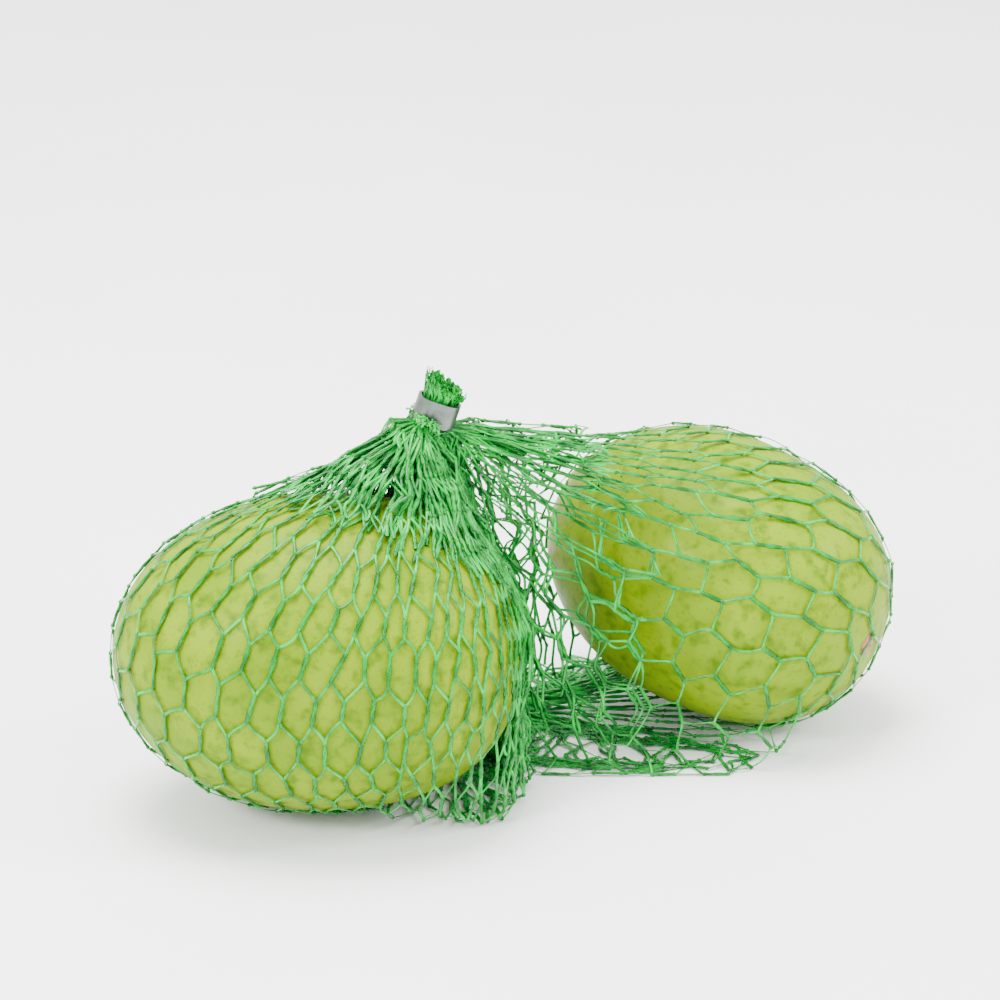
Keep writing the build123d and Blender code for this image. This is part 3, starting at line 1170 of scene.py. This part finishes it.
class Loops:
    """Slack strands standing off the net, where it is gathered."""

    def __init__(self, name: str, count: int, reach: float, palette: Palette) -> None:
        """Takes how many loops there are and how far they reach, in metres."""
        self.name, self.count, self.reach, self.palette = name, count, reach, palette

    def build(self, feet: np.ndarray, lift: np.ndarray, seed: int) -> bpy.types.Object:
        """Makes the loops.

        Args:
            feet: Points that the loops start from, in rows.
            lift: Which way each loop stands, same shape.
            seed: Seed of its own random numbers.

        Returns:
            The piece.
        """
        random = np.random.default_rng(seed)
        chosen = random.integers(0, len(feet), self.count)
        a, up = feet[chosen], unit(lift[chosen])
        b = a + random.standard_normal((self.count, 3)) * self.reach * 0.8
        tall = random.uniform(0.4, 1.0, (self.count, 1)) * self.reach * 3.2
        sway = random.standard_normal((self.count, 3)) * self.reach
        line = hermite(a, b, up * tall + sway, -up * tall + sway, 9)
        batch = TubeBatch()
        batch.add(line, np.broadcast_to(up[:, None], line.shape), Section(0.5 * MM, 0.16 * MM, 5))
        piece = batch.piece(self.name)
        self.palette.paint(piece, Finish.LEG)
        return piece


# ---- The limes ---------------------------------------------------------------------------------


class LimePiece:
    """A lime's peel and its stem button."""

    def __init__(self, lime: Lime, side: str, finish: Finish, palette: Palette) -> None:
        """Takes the lime's shape, its side and its finish."""
        self.lime, self.side, self.finish, self.palette = lime, side, finish, palette

    def build(self, frame: dict) -> None:
        """Makes the lime.
        """
        points, faces = self.lime.surface(200, 320)
        piece = new_mesh(f"{self.side}_lime_peel", points @ self.lime.frame_axes(), faces)
        piece.location = self.lime.centre
        self.palette.paint(piece, self.finish)
        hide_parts(f"{self.side}_lime_fruit")
        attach(piece, f"{self.side}_lime")
        self.palette.paint(frame["nodes"][f"{self.side}_lime_button"], Finish.STEM)


# ---- Surroundings ------------------------------------------------------------------------------


@dataclass(frozen=True)
class View:
    """The camera's angle and distance."""

    target: tuple = (-0.0019, 0.0, 0.0461)
    elevation: float = 21.0
    distance: float = 0.70
    field: float = 13.58


class Studio:
    """Floor, lights and camera."""

    def __init__(self, palette: Palette, view: View = View()) -> None:
        """Takes the finishes and the camera's view."""
        self.palette, self.view = palette, view

    def lamp(self, name: str, place: tuple, size: float, power: float) -> None:
        """Adds a soft square lamp that faces the bag.

        Args:
            name: The lamp's name.
            place: Where it is, in metres.
            size: Its side.
            power: Its power in watts.
        """
        lamp = bpy.data.lights.new(name, "AREA")
        lamp.size, lamp.energy = size, power
        made = bpy.data.objects.new(name, lamp)
        made.location = place
        made.rotation_euler = (Vector((0, 0, 0.03)) - Vector(place)).to_track_quat(
            "-Z", "Y").to_euler()
        bpy.context.scene.collection.objects.link(made)

    def build(self) -> None:
        """Makes the surroundings."""
        side = 6.0
        floor = new_mesh("floor", np.array([(-side, -side, 0), (side, -side, 0), (side, side, 0),
                                            (-side, side, 0)]), np.array([[0, 1, 2, 3]]))
        self.palette.paint(floor, Finish.FLOOR)
        world = bpy.data.worlds.new("room")
        bpy.context.scene.world = world
        world.use_nodes = True
        world.node_tree.nodes["Background"].inputs[0].default_value = (1, 1, 1, 1)
        world.node_tree.nodes["Background"].inputs[1].default_value = 2.3
        self.lamp("overhead", (-0.1, 0.05, 0.7), 0.4, 13.0)
        self.lamp("front_left", (-0.6, -0.6, 0.6), 0.2, 9.0)
        self.lamp("right", (0.7, -0.1, 0.5), 0.2, 6.0)
        view = self.view
        lens = bpy.data.cameras.new("camera")
        lens.angle = math.radians(view.field)
        eye = bpy.data.objects.new("camera", lens)
        tilt = math.radians(view.elevation)
        eye.location = Vector(view.target) + view.distance * Vector(
            (0, -math.cos(tilt), math.sin(tilt)))
        eye.rotation_euler = (math.pi / 2 - tilt, 0, 0)
        bpy.context.scene.collection.objects.link(eye)
        bpy.context.scene.camera = eye


def add_loops(net: Net, top: Bundle, palette: Palette) -> None:
    """Adds the slack loops below the clip and over the waist.

    Args:
        net: The net.
        top: The clipped end.
        palette: The finishes.
    """
    x = net.shape.points
    wide, deep = top.axes()
    a = np.linspace(0, 2 * np.pi, 60, endpoint=False)
    out = np.cos(a)[:, None] * wide + np.sin(a)[:, None] * deep
    feet = top.mouth + out * 2.9 * MM - top.axis * 1.6 * MM
    lift = top.axis + 0.3 * out - 0.9 * wide * (out @ wide > 0)[:, None]
    collar = Loops("collar_loops", 110, 0.9 * MM, palette).build(feet, lift, 5)
    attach(collar, "top_clip")
    before = out[(out @ wide < 0.15) & (out @ deep < 0.5)]
    high = Loops("collar_front_loops", 70, 0.8 * MM, palette).build(
        top.mouth + before * 3.5 * MM + top.axis * 0.5 * MM, top.axis + 0.15 * before, 9)
    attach(high, "top_clip")
    ahead = (x - net.pivot) @ net.across
    for side, first, last, seed, bend in (("left", -12 * MM, -1 * MM, 6, net.bend_to_left),
                                          ("right", -1 * MM, 14 * MM, 8, net.bend_to_right)):
        waist = x[(ahead > first) & (ahead < last) & (x[:, 2] > 8 * MM)]
        loops = Loops(f"waist_loops_{side}", 90, 1.2 * MM, palette)
        bend(loops.build(waist, net.shape.outward(waist), seed))


def main() -> None:
    """Builds the bag in order: limes, net, clips, tufts, surroundings."""
    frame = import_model()
    palette = Palette()
    limes = {side: Lime.measured(frame, side) for side in ("left", "right")}
    for side, finish in (("left", Finish.LEFT_PEEL), ("right", Finish.RIGHT_PEEL)):
        LimePiece(limes[side], side, finish, palette).build(frame)

    neck = np.array(joint_named(frame, "neck_side_tilt")["pos_m"])
    clip = np.array(joint_named(frame, "neck_fore_tilt")["pos_m"])
    lean = unit(clip - neck)
    top = Bundle(clip + lean * CLIP_RISE, lean)
    fold = np.array(joint_named(frame, "waist_fold")["axis"], float)
    backwards = unit(np.array([-fold[0], -fold[1], 0.0]))
    if backwards[1] < 0:
        backwards = -backwards
    low, high = (np.array(corner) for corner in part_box("bottom_clip_band"))
    bottom = Bundle((low + high) / 2 - backwards * CLIP_HEIGHT / 2, backwards)
    shape = NetShape(NetSizes(), [limes["left"], limes["right"]], top, bottom)
    shape.settle()
    net = Net(shape, frame, palette)
    net.build()
    add_loops(net, top, palette)
    Tuft("top_tuft", top, CLIP_HEIGHT, "top_clip", ("top_tuft",), palette).build()
    # The net's own strands run into the bottom clip, so its gather and bundle aren't shown
    Tuft("bottom_tuft", bottom, CLIP_HEIGHT, "waist",
         ("bottom_tuft", "bottom_bundle", "bottom_gather"), palette).build()
    for node in ("top_clip_band", "bottom_clip_band"):
        palette.paint(frame["nodes"][node], Finish.METAL)
    Studio(palette).build()


if __name__ == "__main__":
    main()
